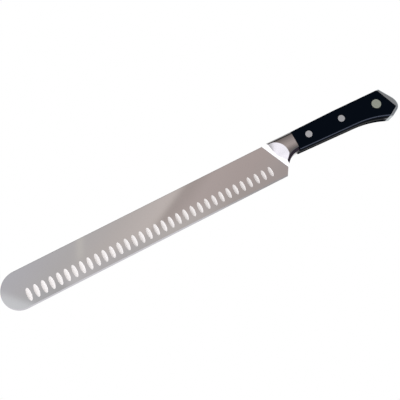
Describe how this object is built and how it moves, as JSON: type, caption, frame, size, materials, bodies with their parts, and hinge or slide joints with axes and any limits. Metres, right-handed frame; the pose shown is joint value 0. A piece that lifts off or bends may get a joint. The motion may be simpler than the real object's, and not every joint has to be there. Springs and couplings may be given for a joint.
{
  "type": "carving knife",
  "caption": "Bull-nosed carving knife: long slicing blade with ground hollows along both flanks, scooped steel bolster, riveted black scales and a pointed steel butt cap.",
  "frame": {"origin": "under the middle of the knife as it lies on its right side, at the height of the right scale's outer face", "axes": "+X from the tip to the butt, +Y from the cutting edge to the spine, +Z out of the left side"},
  "size_m": [0.438, 0.0386, 0.017],
  "materials": {
    "blade_steel": "satin ground lengthwise, hollows brighter",
    "bolster_steel": "polished",
    "black_scale": "smooth moulded and ground, low sheen",
    "cap_steel": "polished",
    "rivet_steel": "ground flush, satin"
  },
  "bodies": {
    "root": {"blade": "blade_steel", "bolster_left": "bolster_steel", "bolster_right": "bolster_steel", "scale_left": "black_scale", "scale_right": "black_scale", "butt_cap": "cap_steel", "front_rivet_tube": "rivet_steel", "front_rivet_pin": "rivet_steel", "middle_rivet_tube": "rivet_steel", "middle_rivet_pin": "rivet_steel", "rear_rivet_tube": "rivet_steel", "rear_rivet_pin": "rivet_steel"}
  },
  "joints": []
}
